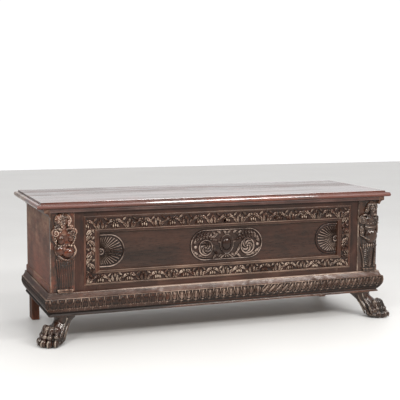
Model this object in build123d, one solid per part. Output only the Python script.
"""A walnut cassone: a long lidded chest on two lion-paw feet and two slab feet.

The front is a frame of rails and stiles round a sunk panel, with herm pilasters at the corners.
A gadrooned moulding runs round the base, and the lid turns on two strap hinges at the back.
Millimetres. +X is to the right along the front, the front faces -Y, +Z is up.
The origin is on the floor, under the middle of the whole chest.
"""
from build123d import *
import math
import os

os.makedirs("parts", exist_ok=True)

# ---------------------------------------------------------------- driving dimensions
# Carcase
body_depth = 552.0          # front face to back face
body_top = 595.0            # top edges, where the lid lies
base_underside = 128.0      # lower edges above the floor
front_thick = 30.0
end_thick = 28.0
back_thick = 26.0
corner_lap = 14.0           # how far an end board is let into the front and the back
loss_width = 15.0           # old loss at the top outer corner of the left stile
loss_height = 19.0
loss_depth = 9.0
loss_drop = 20.0            # below the top edge

# Front frame and its sunk panel
opening_half_width = 594.0  # panel opening in the frame
stile_width = 207.0         # from the opening to the end of the chest
opening_bottom = 313.0
opening_top = 489.0
panel_thick = 14.0
panel_recess = 10.0         # panel face behind the frame's face
panel_tongue = 6.0          # how far the panel enters its groove
tenon_length = 46.0
tenon_shoulder = 22.0       # from the rail's top or bottom edge to its tenon
mortise_relief = 1.0        # space beyond the end of a tenon
peg_radius = 4.0
peg_from_edge = 24.0        # from a tenon's upper or lower edge
peg_blind = 5.0             # wood left in front of a peg

# Applied frames round the carved border
border_beside = 61.0        # outer edge of the thin frame, from the opening
border_below = 59.0
border_above = 68.0
border_fillet_width = 8.0
border_fillet_proud = 4.0
moulding_lap = 11.0         # panel moulding over the frame, beside the opening
moulding_side_width = 12.0  # panel moulding inside the opening, at the stiles
moulding_rail_width = 8.0   # and at the rails
moulding_proud = 3.0

# Ornament on the panel
relief_proud = 6.0
relief_middle_proud = 3.0   # rosettes, the cabochon's ring and the fans' fields
relief_field_proud = 2.0    # the cartouche's field
rim_width = 6.0
fan_width = 108.0
fan_height = 148.0
fan_boss_radius = 9.0
fan_boss_inset = 14.0
cartouche_length = 350.0
cartouche_height = 146.0
cabochon_half_width = 24.0
cabochon_half_height = 35.0
rosette_radius = 35.0
rosette_offset = 100.0

# Keyhole and lock
keyhole_height = 511.0      # centre above the floor
keyhole_radius = 7.0
keyhole_slot_width = 7.0
keyhole_slot_drop = 12.0
keyhole_slot_rise = 10.0
lock_plate_width = 150.0
lock_plate_bottom = 492.0
lock_plate_drop = 5.0       # plate's top edge below the top of the rail
lock_plate_thick = 3.0
bolt_length = 96.0
bolt_travel = 22.0
bolt_height = 10.0
bolt_thick = 6.0
bolt_stand_off = 9.0        # from the lock plate
bolt_drop = 22.0            # middle of the bolt below the top of the rail
bolt_tail = 36.0            # talon that the key pushes
bolt_tail_width = 20.0
bolt_notch_width = 10.0     # notch for the key, in the talon's foot
bolt_notch_height = 10.0
bolt_gap = 0.3              # running gap round the bolt
guide_width = 6.0
guide_wall = 3.5
guide_clear = 1.0           # from a guide to the talon or the bolt's end at the end of its travel
cover_thick = 2.0
cover_left = 64.0
staple_clear = 3.0          # from the bolt's tip, drawn back, to the staple
staple_bar = 5.0
staple_eye_gap = 2.0        # round the bolt
staple_drop = 37.0          # below the lid
staple_plate_thick = 3.0
staple_plate_before = 11.0  # staple plate on either side of the bar
staple_plate_after = 33.0

# Applied herm pilasters
herm_from_end = 53.0        # middle of the herm from the end of the chest
herm_width = 96.0
herm_foot = 236.0
herm_head_top = 572.0
herm_back_thick = 4.0
herm_shaft_foot_width = 60.0
herm_shaft_top_width = 80.0
herm_shaft_proud = 14.0
herm_plinth_width = 68.0
herm_plinth_height = 14.0
herm_plinth_proud = 18.0
herm_belly_height = 409.0
herm_belly_radius = 46.0
herm_belly_proud = 24.0
herm_torso_proud = 16.0
herm_waist_width = 62.0
herm_shoulder_width = 70.0
herm_shoulder_height = 492.0
herm_scroll_radius = 15.0
herm_neck_radius = 13.0
herm_head_radius = 27.0
herm_head_proud = 25.0

# Base moulding, round the front and both ends
base_top = 232.0
lip_proud = 11.0
lip_height = 8.0
neck_proud = 5.0
neck_rise = 4.0
belly_proud = 30.0
belly_middle = 190.0        # height where the gadrooned belly is widest
belly_swell_proud = 25.5    # where the belly swells below its widest
belly_swell_height = 171.0
belly_top = 206.0
belly_top_proud = 28.0
slope_foot_rise = 3.0       # above the belly's top
slope_foot_proud = 21.0
slope_top_proud = 12.0
fillet_height = 6.0
strip_height = 30.0         # plain strip above it on the ends
strip_proud = 5.0
strip_bevel = 3.0

# Floor of the chest
floor_height = 176.0        # underside of the bottom boards
floor_thick = 20.0
bottom_board_count = 3
ledger_width = 24.0
batten_width = 60.0
batten_height = 24.0
batten_spacing = 400.0
corner_block_size = 90.0

# Feet. The two paws are carved freely: the right one reaches further and turns more to the front.
left_paw_turn = 30.0        # degrees from the chest's length towards the front
right_paw_turn = 38.0
paw_axis_from_end = 57.0
paw_axis_from_front = 37.0
paw_top_radius = 44.0
paw_ankle_radius = 39.0
paw_ankle_height = 104.0
paw_ankle_lean = 9.0
paw_pad_height = 42.0
left_pad_lean = 58.0
right_pad_lean = 66.0
paw_pad_half_length = 46.0
paw_pad_half_width = 53.0
paw_sole_half_length = 41.0
paw_sole_half_width = 50.0
paw_tenon_radius = 12.0
paw_tenon_turn = 30.0       # the tenon's direction from the middle of the leg
paw_tenon_inset = 22.0      # tenon behind the middle of the leg
paw_tenon_length = 34.0
paw_tenon_root = 1.0        # how far the tenon runs down into the leg
tenon_gap = 0.15
toe_count = 4
left_toe_spread = 17.0      # degrees from one toe to the next
right_toe_spread = 15.0
toe_root_lean = 12.0        # where the toes fan out from
left_toe_lengths = (88.0, 88.0, 88.0, 88.0)     # from there to each tip's middle, rear toe first
right_toe_lengths = (91.0, 102.0, 98.0, 80.0)
toe_tip_radius = 17.0
toe_knuckle_radius = 20.0
toe_knuckle_height = 73.0
toe_knuckle_share = 0.73    # of the toe's length
rear_foot_width = 36.0
rear_foot_depth = 70.0
rear_foot_inset_end = 6.0
rear_foot_inset_back = 4.0
rear_tenon_width = 10.0
rear_tenon_depth = 44.0
rear_tenon_height = 30.0

# Lid
lid_thick = 27.0
lid_end_overhang = 59.0
lid_front_overhang = 28.0
nose_reach = 20.0           # rounded edge outside the flat top
nose_quirk = 6.5            # small step from the flat top down to the rounded edge
nose_sag = 1.0              # the nose's tip below its middle
nose_bend_inset = 4.4       # where the nose turns over
nose_bend_drop = 3.9
nose_undercut = 4.0
lid_front_board_depth = 310.0
lid_moulding_gap = 1.5      # between a lid moulding and the carcase
front_moulding_proud = 18.0
front_moulding_height = 17.0
end_moulding_proud = 28.0
end_moulding_height = 37.0
end_fascia_height = 17.0
end_hollow_proud = 19.0
end_hollow_bend_proud = 8.5
end_hollow_bend_rise = 11.0
end_hollow_foot = 4.0

# Hinges
hinge_from_end = 241.0      # from the end of the chest to the middle of each hinge
barrel_radius = 8.0
barrel_gap = 0.5            # barrel behind the back face
pin_radius = 4.0
pin_running_gap = 0.05
knuckle_length = 20.0
knuckle_gap = 0.3
strap_thick = 4.0
strap_width = 36.0
strap_set_back = 20.0       # strap's end behind the joint of the lid's two boards
leaf_thick = 3.0
leaf_height = 95.0
leaf_nail_drop = 33.0       # upper nails below the barrel
leaf_nail_margin = 19.0     # lower nails above the leaf's foot
strap_nail_first = 48.0     # from the back of the lid
strap_nail_spacing = 76.0
strap_nail_count = 3
pin_head_radius = 6.0
pin_head_height = 3.0

# Nails
nail_radius = 2.0
nail_length = 18.0
nail_head_radius = 5.5
nail_head_height = 2.5
back_nail_length = 40.0
back_nail_count = 4

# ---------------------------------------------------------------- derived places
body_half = opening_half_width + stile_width
herm_centre = body_half - herm_from_end
hinge_offset = body_half - hinge_from_end


def toe_angles(turn, spread):
    """Each toe's direction in radians from the chest's length, the rear toe first."""
    return [math.radians(turn + (toe - (toe_count - 1) / 2) * spread) for toe in range(toe_count)]


def front_reach(turn, spread, lengths):
    """How far a paw stands out in front of the carcase."""
    tips = [length * math.sin(angle) for length, angle in zip(lengths, toe_angles(turn, spread))]
    return toe_root_lean * math.sin(math.radians(turn)) + max(tips) + toe_tip_radius - paw_axis_from_front


paw_front_reach = max(front_reach(left_paw_turn, left_toe_spread, left_toe_lengths),
                      front_reach(right_paw_turn, right_toe_spread, right_toe_lengths))
hinge_back_reach = barrel_gap + 2 * barrel_radius
whole_depth = paw_front_reach + body_depth + hinge_back_reach
front_face = -whole_depth / 2 + paw_front_reach
back_face = front_face + body_depth
front_inner = front_face + front_thick
back_inner = back_face - back_thick
end_inner = body_half - end_thick
panel_face = front_face + panel_recess
panel_back = panel_face + panel_thick
panel_middle = (opening_bottom + opening_top) / 2
floor_top = floor_height + floor_thick
hinge_y = back_face + barrel_gap + barrel_radius
lid_half = body_half + lid_end_overhang
lid_front = front_face - lid_front_overhang
board_joint = lid_front + lid_front_board_depth
strap_length = back_face - board_joint - strap_set_back
lock_face = front_inner + lock_plate_thick
bolt_middle = body_top - bolt_drop
bolt_front = lock_face + bolt_stand_off
bolt_tip = bolt_tail_width / 2 + bolt_travel + guide_clear + guide_width
staple_left = bolt_tip + staple_clear


def block(x0, x1, y0, y1, z0, z1):
    """A box between two corners."""
    corner = Pos((x0 + x1) / 2, (y0 + y1) / 2, (z0 + z1) / 2)
    return corner * Box(abs(x1 - x0), abs(y1 - y0), abs(z1 - z0))


def rod(radius, start, direction, length):
    """A round bar from a point along a direction."""
    return extrude(Plane(start, z_dir=direction) * Circle(radius), amount=length)


def flat_shape(outline, y0, y1):
    """An outline drawn in X and Z, made solid from y0 back to y1."""
    face = Plane((0, y1, 0), x_dir=(1, 0, 0), z_dir=(0, -1, 0)) * outline
    return extrude(face, amount=y1 - y0)


def at_front(x, z, sketch):
    """A sketch moved to a place on the front, given by X and Z."""
    return Pos(x, z, 0) * sketch


def other_side(shape):
    """The same piece at the other end of the chest."""
    return mirror(shape, about=Plane.YZ)


def save(name, shape):
    """Write one node; a group of like pieces is one compound of separate solids."""
    solids = shape if isinstance(shape, list) else list(shape.solids())
    whole = solids[0] if len(solids) == 1 else Compound(children=solids)
    whole.label = name
    export_step(whole, f"parts/{name}.step")


def save_pair(name, right_piece):
    """Write a right-hand piece and its left-hand twin."""
    save(f"{name}_right", right_piece)
    save(f"{name}_left", other_side(right_piece))


def nail(x, y, z, direction, length):
    """A forged nail: a low domed head on the surface and a round shank along the direction."""
    way = Vector(*direction)
    shank = rod(nail_radius, (x, y, z), way, length)
    head = Plane((x, y, z), z_dir=-way) * Cone(nail_head_radius, nail_head_radius / 2, nail_head_height,
                                               align=(Align.CENTER, Align.CENTER, Align.MIN))
    return shank + head


def nail_hole(x, y, z, direction, length):
    """The hole that a nail fills."""
    return rod(nail_radius, (x, y, z), direction, length)


# ---------------------------------------------------------------- nails and pegs, placed first
leaf_nail_rows = [body_top - barrel_radius - drop
                  for drop in (leaf_nail_drop, leaf_height - leaf_nail_margin)]
leaf_nails = [(side * hinge_offset + shift, height)
              for side in (-1, 1) for shift in (-strap_width / 4, strap_width / 4)
              for height in leaf_nail_rows]
strap_nails = [(side * hinge_offset, back_face - strap_nail_first - strap_nail_spacing * row)
               for side in (-1, 1) for row in range(strap_nail_count)]
back_nail_step = (body_top - base_underside) / back_nail_count
back_nails = [(side * (body_half - end_thick / 2), base_underside + back_nail_step * (row + 0.5))
              for side in (-1, 1) for row in range(back_nail_count)]
top_tenon = (opening_top + panel_tongue, body_top - tenon_shoulder)
bottom_tenon = (base_underside + tenon_shoulder, opening_bottom - panel_tongue)
peg_reach = front_thick - peg_blind
peg_places = [(side * (opening_half_width + tenon_length / 2), height)
              for side in (-1, 1) for low, high in (top_tenon, bottom_tenon)
              for height in (low + peg_from_edge, high - peg_from_edge)]
pegs = [rod(peg_radius, (x, front_inner, z), (0, -1, 0), peg_reach) for x, z in peg_places]


def with_peg_holes(shape):
    """A piece bored for the pegs."""
    for peg in pegs:
        shape -= peg
    return shape


# ---------------------------------------------------------------- front frame
def keyhole_cut(y0, y1):
    """A worn keyhole: a round eye with a short slot above and a longer one below."""
    eye = Circle(keyhole_radius)
    slot = Pos(0, (keyhole_slot_rise - keyhole_slot_drop) / 2) * Rectangle(
        keyhole_slot_width, keyhole_slot_rise + keyhole_slot_drop)
    return flat_shape(at_front(0, keyhole_height, eye + slot), y0, y1)


def rail(low, high, tenon, groove_low):
    """A rail with a tenon at each end and a groove for the panel along one edge."""
    body = block(-opening_half_width, opening_half_width, front_face, front_inner, low, high)
    reach = opening_half_width + tenon_length
    body += block(-reach, reach, panel_face, panel_back, *tenon)
    body -= block(-opening_half_width, opening_half_width, panel_face, panel_back,
                  groove_low, groove_low + panel_tongue)
    return with_peg_holes(body)


def stile():
    """The right stile: housed for the end board, mortised for both rails, grooved for the panel."""
    body = block(opening_half_width, body_half, front_face, front_inner, base_underside, body_top)
    body -= block(end_inner, body_half, front_inner - corner_lap, front_inner, base_underside, body_top)
    groove_end = opening_half_width + panel_tongue
    body -= block(opening_half_width, groove_end, panel_face, panel_back,
                  opening_bottom - panel_tongue, opening_top + panel_tongue)
    mortise_end = opening_half_width + tenon_length + mortise_relief
    for low, high in (top_tenon, bottom_tenon):
        body -= block(opening_half_width, mortise_end, panel_face, panel_back, low, high)
    return with_peg_holes(body)


top_rail = rail(opening_top, body_top, top_tenon, opening_top)
top_rail -= keyhole_cut(front_face, front_inner)
save("front_top_rail", top_rail)
save("front_bottom_rail", rail(base_underside, opening_bottom, bottom_tenon,
                               opening_bottom - panel_tongue))
loss_top = body_top - loss_drop
loss = block(-body_half, -body_half + loss_width, front_face, front_face + loss_depth,
             loss_top - loss_height, loss_top)
save("front_stile_right", stile())
save("front_stile_left", other_side(stile()) - loss)
save("frame_pegs", pegs)


# ---------------------------------------------------------------- sunk panel with its carved field
def arch(width, height):
    """A fan's outline: a half circle with straight stilts, its flat side on the left at X 0."""
    radius = height / 2
    stilt = width - radius
    return Pos(stilt, 0) * Circle(radius) + Pos(stilt / 2, 0) * Rectangle(stilt, height)


def arch_field(width, height):
    """The fan's outline without the half of its circle that lies left of the flat side."""
    return arch(width, height) & Pos(width / 2, 0) * Rectangle(width, height)


def fan():
    """The left fan: a raised rim round a low field of rays, with a half-round boss at its root."""
    root = -(opening_half_width - moulding_side_width)
    outline = arch_field(fan_width, fan_height)
    inside = arch_field(fan_width - rim_width, fan_height - 2 * rim_width)
    rim = flat_shape(at_front(root, panel_middle, outline - inside),
                     panel_face - relief_proud, panel_face)
    field = flat_shape(at_front(root, panel_middle, inside), panel_face - relief_middle_proud,
                       panel_face)
    boss = rod(fan_boss_radius, (root + fan_boss_inset, panel_face, panel_middle), (0, -1, 0),
               relief_proud)
    return rim + field + boss


def cartouche():
    """A long frame with round ends, an oval cabochon in the middle and a rosette on each side."""
    round_end = cartouche_height / 2
    outer = SlotOverall(cartouche_length, cartouche_height)
    inner = SlotOverall(cartouche_length - 2 * rim_width, cartouche_height - 2 * rim_width)
    rim = flat_shape(at_front(0, panel_middle, outer - inner), panel_face - relief_proud, panel_face)
    field = flat_shape(at_front(0, panel_middle, inner), panel_face - relief_field_proud, panel_face)
    shapes = rim + field
    ring = Ellipse(cabochon_half_width + rim_width, cabochon_half_height + rim_width)
    shapes += flat_shape(at_front(0, panel_middle, ring), panel_face - relief_middle_proud, panel_face)
    oval = Ellipse(cabochon_half_width, cabochon_half_height)
    shapes += flat_shape(at_front(0, panel_middle, oval), panel_face - relief_proud, panel_face)
    for side in (-1, 1):
        rosette = Circle(min(rosette_radius, round_end - rim_width))
        shapes += flat_shape(at_front(side * rosette_offset, panel_middle, rosette),
                             panel_face - relief_middle_proud, panel_face)
    return shapes


panel = block(-opening_half_width - panel_tongue, opening_half_width + panel_tongue,
              panel_face, panel_back, opening_bottom - panel_tongue, opening_top + panel_tongue)
left_fan = fan()
save("front_panel", panel + left_fan + other_side(left_fan) + cartouche())


# ---------------------------------------------------------------- applied frames on the front
def mitred_side(side, outer, inner, y0, y1):
    """One side of a mitred frame between two rectangles, each (half width, bottom, top)."""
    outer_half, outer_bottom, outer_top = outer
    inner_half, inner_bottom, inner_top = inner
    corners = {
        "top": [(-outer_half, outer_top), (outer_half, outer_top),
                (inner_half, inner_top), (-inner_half, inner_top)],
        "bottom": [(-outer_half, outer_bottom), (-inner_half, inner_bottom),
                   (inner_half, inner_bottom), (outer_half, outer_bottom)],
        "right": [(outer_half, outer_top), (outer_half, outer_bottom),
                  (inner_half, inner_bottom), (inner_half, inner_top)],
        "left": [(-outer_half, outer_top), (-inner_half, inner_top),
                 (-inner_half, inner_bottom), (-outer_half, outer_bottom)],
    }[side]
    return flat_shape(make_face(Polyline(*corners, close=True)), y0, y1)


def inset(rectangle, at_sides, at_rails):
    """A smaller rectangle inside (half width, bottom, top)."""
    half, bottom, top = rectangle
    return (half - at_sides, bottom + at_rails, top - at_rails)


border_outer = (opening_half_width + border_beside, opening_bottom - border_below,
                opening_top + border_above)
border_inner = inset(border_outer, border_fillet_width, border_fillet_width)
opening = (opening_half_width, opening_bottom, opening_top)
moulding_outer = inset(opening, -moulding_lap, -moulding_rail_width)
moulding_inner = inset(opening, moulding_side_width, moulding_rail_width)
for side in ("top", "bottom", "left", "right"):
    save(f"border_fillet_{side}",
         mitred_side(side, border_outer, border_inner, front_face - border_fillet_proud, front_face))
    save(f"panel_moulding_{side}",
         mitred_side(side, moulding_outer, moulding_inner, front_face - moulding_proud, front_face)
         + mitred_side(side, opening, moulding_inner, front_face, panel_face))


# ---------------------------------------------------------------- herm pilasters
def proud_cap(x, z, radius, proud):
    """The part of a ball that stands proud of the front face."""
    ball = Pos(x, front_face - proud + radius, z) * Sphere(radius)
    reach = 2 * radius
    return ball & block(x - reach, x + reach, front_face - reach, front_face, z - reach, z + reach)


def tapered(x, low, low_width, high, high_width, proud):
    """A flat-faced shaft whose width changes from its foot to its top."""
    outline = Polyline((x - low_width / 2, low), (x + low_width / 2, low),
                       (x + high_width / 2, high), (x - high_width / 2, high), close=True)
    return flat_shape(make_face(outline), front_face - proud, front_face)


def herm():
    """The right herm, one carved block: plinth, tapering shaft, belly, scrolled torso and head."""
    x = herm_centre
    head_centre = herm_head_top - herm_head_radius
    shaft_foot = herm_foot + herm_plinth_height
    torso_foot = herm_belly_height + herm_belly_radius / 2
    figure = tapered(x, herm_foot, herm_width, herm_head_top, herm_width, herm_back_thick)
    figure += tapered(x, herm_foot, herm_plinth_width, shaft_foot, herm_plinth_width, herm_plinth_proud)
    figure += tapered(x, shaft_foot, herm_shaft_foot_width, herm_belly_height, herm_shaft_top_width,
                      herm_shaft_proud)
    figure += tapered(x, torso_foot, herm_waist_width, herm_shoulder_height, herm_shoulder_width,
                      herm_torso_proud)
    figure += proud_cap(x, herm_belly_height, herm_belly_radius, herm_belly_proud)
    for side in (-1, 1):
        scroll_x = x + side * (herm_width / 2 - herm_scroll_radius)
        figure += rod(herm_scroll_radius, (scroll_x, front_face, herm_shoulder_height), (0, -1, 0),
                      herm_torso_proud)
    figure += rod(herm_neck_radius, (x, front_face - herm_neck_radius / 2, herm_shoulder_height),
                  (0, 0, 1), head_centre - herm_shoulder_height) & block(
                      x - herm_width, x + herm_width, front_face - herm_width, front_face, 0, body_top)
    return figure + proud_cap(x, head_centre, herm_head_radius, herm_head_proud)


save_pair("herm_pilaster", herm())

# ---------------------------------------------------------------- ends and back
end_front = front_inner - corner_lap
end_back = back_inner + corner_lap
end_board = block(end_inner, body_half, end_front, end_back, base_underside, body_top)
back_board = block(-body_half, body_half, back_inner, back_face, base_underside, body_top)
for side in (-1, 1):
    back_board -= block(side * end_inner, side * body_half, back_inner, end_back,
                        base_underside, body_top)
for x, z in back_nails:
    back_board -= nail_hole(x, back_face, z, (0, -1, 0), back_nail_length)
    if x > 0:
        end_board -= nail_hole(x, back_face, z, (0, -1, 0), back_nail_length)
for x, z in leaf_nails:
    back_board -= nail_hole(x, back_face + leaf_thick, z, (0, -1, 0), nail_length)
save_pair("end_board", end_board)
save("back_board", back_board)
save("back_nails", [nail(x, back_face, z, (0, -1, 0), back_nail_length) for x, z in back_nails])

# ---------------------------------------------------------------- floor of the chest
floor_depth = back_inner - front_inner
board_depth = floor_depth / bottom_board_count
for number in range(bottom_board_count):
    board_front = front_inner + number * board_depth
    save(f"bottom_board_{number + 1}", block(-end_inner, end_inner, board_front,
                                             board_front + board_depth, floor_height, floor_top))
ledger_half = end_inner - corner_block_size
ledger_bottom = floor_height - ledger_width
save("bottom_ledger_front", block(-ledger_half, ledger_half, front_inner,
                                  front_inner + ledger_width, ledger_bottom, floor_height))
save("bottom_ledger_back", block(-ledger_half, ledger_half, back_inner - ledger_width,
                                 back_inner, ledger_bottom, floor_height))
for name, middle in (("left", -batten_spacing), ("centre", 0), ("right", batten_spacing)):
    save(f"bottom_batten_{name}",
         block(middle - batten_width / 2, middle + batten_width / 2, front_inner + ledger_width,
               back_inner - ledger_width, floor_height - batten_height, floor_height))

# ---------------------------------------------------------------- feet and the blocks they fix to
paw_x = body_half - paw_axis_from_end
paw_y = front_face + paw_axis_from_front
tenon_angle = math.radians(paw_tenon_turn)


def ahead(angle, lean, z, root=(0.0, 0.0)):
    """A point of a right-hand paw: so far from the leg's axis or from a root, in one direction."""
    return (paw_x + root[0] + lean * math.cos(angle), paw_y + root[1] - lean * math.sin(angle), z)


def paw_section(angle, lean, z, half_length, half_width):
    """An oval section of the leg, level, with its long way along the paw."""
    plane = Plane(ahead(angle, lean, z), x_dir=(math.cos(angle), -math.sin(angle), 0), z_dir=(0, 0, 1))
    return plane * Ellipse(half_length, half_width)


def toe(paw_angle, angle, length):
    """One toe: a ball at the knuckle, a ball at the tip and a tapering bar between them."""
    root = (toe_root_lean * math.cos(paw_angle), -toe_root_lean * math.sin(paw_angle))
    knuckle = Vector(*ahead(angle, toe_knuckle_share * length, toe_knuckle_height, root))
    tip = Vector(*ahead(angle, length, toe_tip_radius, root))
    middle = (knuckle + tip) * 0.5
    bar = Plane(middle, z_dir=tip - knuckle) * Cone(toe_knuckle_radius, toe_tip_radius,
                                                    (tip - knuckle).length)
    return bar + Pos(*knuckle) * Sphere(toe_knuckle_radius) + Pos(*tip) * Sphere(toe_tip_radius)


def paw_foot(turn, pad_lean, spread, lengths):
    """A right-hand paw: a short leg that leans out over a broad pad, with its toes fanned in front."""
    angle = math.radians(turn)
    leg = loft([
        paw_section(angle, pad_lean, 0, paw_sole_half_length, paw_sole_half_width),
        paw_section(angle, pad_lean, paw_pad_height, paw_pad_half_length, paw_pad_half_width),
        paw_section(angle, paw_ankle_lean, paw_ankle_height, paw_ankle_radius, paw_ankle_radius),
        paw_section(angle, 0, base_underside, paw_top_radius, paw_top_radius),
    ])
    for way, length in zip(toe_angles(turn, spread), lengths):
        leg += toe(angle, way, length)
    tenon_start = ahead(tenon_angle, -paw_tenon_inset, base_underside - paw_tenon_root)
    return leg + rod(paw_tenon_radius, tenon_start, (0, 0, 1), paw_tenon_root + paw_tenon_length)


rear_foot_outer = body_half - rear_foot_inset_end
rear_foot_back = back_face - rear_foot_inset_back
rear_tenon_outer = end_inner - tenon_gap
rear_tenon_back = back_inner - tenon_gap


def rear_tenon(gap):
    """The rear foot's stub tenon, or with a gap the mortise for it."""
    return block(rear_tenon_outer - rear_tenon_width - gap, end_inner,
                 rear_tenon_back - rear_tenon_depth - gap, back_inner,
                 base_underside, base_underside + rear_tenon_height + gap)


block_inner = end_inner - corner_block_size
front_block = block(block_inner, end_inner, front_inner, front_inner + corner_block_size,
                    base_underside, floor_height)
front_block -= rod(paw_tenon_radius + tenon_gap, ahead(tenon_angle, -paw_tenon_inset, base_underside),
                   (0, 0, 1), paw_tenon_length + mortise_relief)
rear_block = block(block_inner, end_inner, back_inner - corner_block_size, back_inner,
                   base_underside, floor_height) - rear_tenon(tenon_gap)
rear_foot = block(rear_foot_outer - rear_foot_width, rear_foot_outer,
                  rear_foot_back - rear_foot_depth, rear_foot_back, 0, base_underside)
rear_foot += block(rear_tenon_outer - rear_tenon_width, rear_tenon_outer,
                   rear_tenon_back - rear_tenon_depth, rear_tenon_back,
                   base_underside, base_underside + rear_tenon_height)
save_pair("corner_block_front", front_block)
save_pair("corner_block_rear", rear_block)
save("paw_foot_right", paw_foot(right_paw_turn, right_pad_lean, right_toe_spread, right_toe_lengths))
save("paw_foot_left", other_side(paw_foot(left_paw_turn, left_pad_lean, left_toe_spread,
                                          left_toe_lengths)))
save_pair("rear_foot", rear_foot)


# ---------------------------------------------------------------- base moulding
def base_outline():
    """Section of the base moulding, as distance out from the carcase and height."""
    lip_top = base_underside + lip_height
    neck_top = lip_top + neck_rise
    fillet_foot = base_top - fillet_height
    bottom = Polyline((0, base_underside), (lip_proud, base_underside), (lip_proud, lip_top),
                      (neck_proud, neck_top))
    belly = ThreePointArc((neck_proud, neck_top), (belly_swell_proud, belly_swell_height),
                          (belly_proud, belly_middle))
    shoulder = Polyline((belly_proud, belly_middle), (belly_top_proud, belly_top),
                        (slope_foot_proud, belly_top + slope_foot_rise), (slope_top_proud, fillet_foot),
                        (slope_top_proud, base_top), (0, base_top), (0, base_underside))
    return make_face(bottom + belly + shoulder)


front_section = Plane((0, front_face, 0), x_dir=(0, -1, 0), z_dir=(-1, 0, 0)) * base_outline()
end_section = Plane((body_half, back_face, 0), x_dir=(1, 0, 0), z_dir=(0, -1, 0)) * base_outline()
front_run = extrude(front_section, amount=body_half + belly_proud, both=True)
end_run = extrude(end_section, amount=body_depth + belly_proud)
right_mitre = Plane((body_half, front_face, 0), z_dir=(1, 1, 0))
left_mitre = Plane((-body_half, front_face, 0), z_dir=(-1, 1, 0))
front_run = split(split(front_run, bisect_by=right_mitre, keep=Keep.BOTTOM),
                  bisect_by=left_mitre, keep=Keep.BOTTOM)
end_run = split(end_run, bisect_by=right_mitre, keep=Keep.TOP)
save("base_moulding_front", front_run)
save_pair("base_moulding", end_run)
strip_outline = Polyline((body_half, base_top), (body_half + strip_proud, base_top),
                         (body_half + strip_proud, base_top + strip_height - strip_bevel),
                         (body_half + strip_proud - strip_bevel, base_top + strip_height),
                         (body_half, base_top + strip_height), close=True)
save_pair("end_strip", flat_shape(make_face(strip_outline), front_face, back_face))


# ---------------------------------------------------------------- lid
def edge_outline(reach):
    """Half of the lid's section out to one edge: flat top, small step, rounded nose, underside."""
    flat = reach - nose_reach
    shoulder = body_top + lid_thick - nose_quirk
    under = body_top
    nose_tip = (under + shoulder) / 2 - nose_sag
    top = Polyline((0, under + lid_thick), (flat, under + lid_thick), (flat, shoulder))
    nose = Spline((flat, shoulder), (reach - nose_bend_inset, shoulder - nose_bend_drop),
                  (reach, nose_tip), (reach - nose_undercut, under))
    return make_face(top + nose + Polyline((reach - nose_undercut, under), (0, under),
                                           (0, under + lid_thick)))


lid_middle = (lid_front + back_face) / 2
across = Plane((0, lid_middle, 0), x_dir=(0, -1, 0), z_dir=(-1, 0, 0)) * edge_outline(
    lid_middle - lid_front)
nosed_front = extrude(across, amount=lid_half, both=True)
plain_back = block(-lid_half, lid_half, lid_middle, back_face, body_top, body_top + lid_thick)
along = Plane((0, back_face, 0), x_dir=(1, 0, 0), z_dir=(0, -1, 0)) * edge_outline(lid_half)
right_half = extrude(along, amount=back_face - lid_front)
lid = (nosed_front + plain_back) & (right_half + other_side(right_half))
strap_beds = [block(side * hinge_offset - strap_width / 2, side * hinge_offset + strap_width / 2,
                    back_face - strap_length, back_face, body_top, body_top + strap_thick)
              for side in (-1, 1)]
for bed in strap_beds:
    lid -= bed
for x, y in strap_nails:
    lid -= nail_hole(x, y, body_top, (0, 0, 1), nail_length)
staple_front = bolt_front - staple_eye_gap - staple_bar
staple_back = bolt_front + bolt_thick + staple_eye_gap + staple_bar
staple_plate_bed = block(staple_left - staple_plate_before, staple_left + staple_plate_after,
                         staple_front, staple_back, body_top, body_top + staple_plate_thick)
lid -= staple_plate_bed
save("lid_front_board", lid & block(-lid_half, lid_half, lid_front, board_joint, 0, 2 * body_top))
save("lid_rear_board", lid & block(-lid_half, lid_half, board_joint, back_face, 0, 2 * body_top))

# The mouldings nailed under the lid close over the top of the carcase like a dust lip.
front_strip_front = front_face - front_moulding_proud
save("lid_moulding_front",
     block(-body_half - lid_moulding_gap, body_half + lid_moulding_gap, front_strip_front,
           front_face - lid_moulding_gap, body_top - front_moulding_height, body_top))
end_foot = body_top - end_moulding_height
fascia_foot = body_top - end_fascia_height
fascia_x = body_half + end_moulding_proud
moulding_inner_x = body_half + lid_moulding_gap
end_profile = Polyline((moulding_inner_x, body_top), (fascia_x, body_top), (fascia_x, fascia_foot),
                       (body_half + end_hollow_proud, fascia_foot))
hollow_middle = (body_half + end_hollow_bend_proud, end_foot + end_hollow_bend_rise)
hollow = ThreePointArc((body_half + end_hollow_proud, fascia_foot), hollow_middle,
                       (body_half + end_hollow_foot, end_foot))
end_profile += hollow + Polyline((body_half + end_hollow_foot, end_foot),
                                 (moulding_inner_x, end_foot), (moulding_inner_x, body_top))
save_pair("lid_moulding", flat_shape(make_face(end_profile), front_strip_front, back_face))

# ---------------------------------------------------------------- hinges
outer_knuckle = knuckle_length + knuckle_gap + knuckle_length / 2


def hinge_strap(x):
    """The lid's leaf: a long strap let into the lid, with the middle knuckle at its end."""
    bar = block(x - strap_width / 2, x + strap_width / 2, back_face - strap_length, back_face,
                body_top, body_top + strap_thick)
    bar += block(x - knuckle_length / 2, x + knuckle_length / 2, back_face, hinge_y,
                 body_top, body_top + strap_thick)
    bar += rod(barrel_radius, (x - knuckle_length / 2, hinge_y, body_top), (1, 0, 0), knuckle_length)
    bar -= rod(pin_radius + pin_running_gap, (x - knuckle_length / 2, hinge_y, body_top),
               (1, 0, 0), knuckle_length)
    for nail_x, nail_y in strap_nails:
        bar -= nail_hole(nail_x, nail_y, body_top, (0, 0, 1), nail_length)
    return bar


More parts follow.
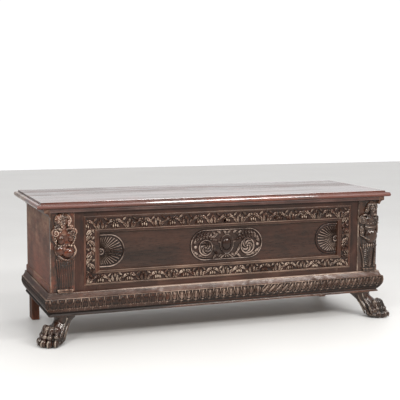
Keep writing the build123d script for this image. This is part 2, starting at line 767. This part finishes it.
def hinge_leaf(x):
    """The carcase's leaf: a plate on the back with a knuckle at each side of the strap's."""
    plate_top = body_top - barrel_radius - knuckle_gap
    leaf = block(x - outer_knuckle, x + outer_knuckle, back_face, back_face + leaf_thick,
                 body_top - barrel_radius - leaf_height, plate_top)
    for side in (-1, 1):
        near = x + side * (knuckle_length / 2 + knuckle_gap)
        far = near + side * knuckle_length
        leaf += block(near, far, back_face, back_face + leaf_thick, plate_top, body_top)
        leaf += rod(barrel_radius, (min(near, far), hinge_y, body_top), (1, 0, 0), knuckle_length)
    leaf -= rod(pin_radius, (x - outer_knuckle, hinge_y, body_top), (1, 0, 0), 2 * outer_knuckle)
    for nail_x, nail_z in leaf_nails:
        leaf -= nail_hole(nail_x, back_face + leaf_thick, nail_z, (0, -1, 0), nail_length)
    return leaf


def hinge_pin(x):
    """A headed pin through the three knuckles."""
    pin = rod(pin_radius, (x - outer_knuckle, hinge_y, body_top), (1, 0, 0), 2 * outer_knuckle)
    for side in (-1, 1):
        pin += rod(pin_head_radius, (x + side * outer_knuckle, hinge_y, body_top), (side, 0, 0),
                   pin_head_height)
    return pin


save_pair("hinge_strap", hinge_strap(hinge_offset))
save_pair("hinge_leaf", hinge_leaf(hinge_offset))
save_pair("hinge_pin", hinge_pin(hinge_offset))
save("hinge_leaf_nails", [nail(x, back_face + leaf_thick, z, (0, -1, 0), nail_length)
                          for x, z in leaf_nails])
save("hinge_strap_nails", [nail(x, y, body_top, (0, 0, 1), nail_length) for x, y in strap_nails])

# ---------------------------------------------------------------- lock
plate_top = body_top - lock_plate_drop
lock_plate = block(-lock_plate_width / 2, lock_plate_width / 2, front_inner, lock_face,
                   lock_plate_bottom, plate_top) - keyhole_cut(front_inner, lock_face)
save("lock_plate", lock_plate)
bolt_back = bolt_front + bolt_thick
bolt_low = bolt_middle - bolt_height / 2
bolt_high = bolt_middle + bolt_height / 2
bolt = block(bolt_tip - bolt_length, bolt_tip, bolt_front, bolt_back, bolt_low, bolt_high)
bolt += block(-bolt_tail_width / 2, bolt_tail_width / 2, bolt_front, bolt_back,
              bolt_low - bolt_tail, bolt_low)
bolt -= block(-bolt_notch_width / 2, bolt_notch_width / 2, bolt_front, bolt_back,
              bolt_low - bolt_tail, bolt_low - bolt_tail + bolt_notch_height)
save("lock_bolt", bolt)


def bolt_guide(x):
    """A forged staple that holds the bolt at its distance from the lock plate."""
    outer = block(x, x + guide_width, lock_face, bolt_back + guide_wall,
                  bolt_low - guide_wall, bolt_high + guide_wall)
    return outer - block(x, x + guide_width, bolt_front - bolt_gap, bolt_back + bolt_gap,
                         bolt_low - bolt_gap, bolt_high + bolt_gap)


guide_left = bolt_tip - bolt_length + bolt_travel + guide_clear
guide_right = bolt_tip - guide_width
save("bolt_guides", [bolt_guide(guide_left), bolt_guide(guide_right)])
cover_front = bolt_back + guide_wall
cover_back = cover_front + cover_thick
cover = block(-cover_left, bolt_tip, cover_front, cover_back, lock_plate_bottom, plate_top)
for low in (lock_plate_bottom, plate_top - cover_thick):
    cover += block(-cover_left, bolt_tip, lock_face, cover_front, low, low + cover_thick)
save("lock_cover", cover)
staple = block(staple_left, staple_left + staple_bar, staple_front, staple_back,
               body_top - staple_drop, body_top)
staple -= block(staple_left, staple_left + staple_bar, staple_front + staple_bar,
                staple_back - staple_bar, body_top - staple_drop + staple_bar, body_top)
save("lock_staple", staple + staple_plate_bed)
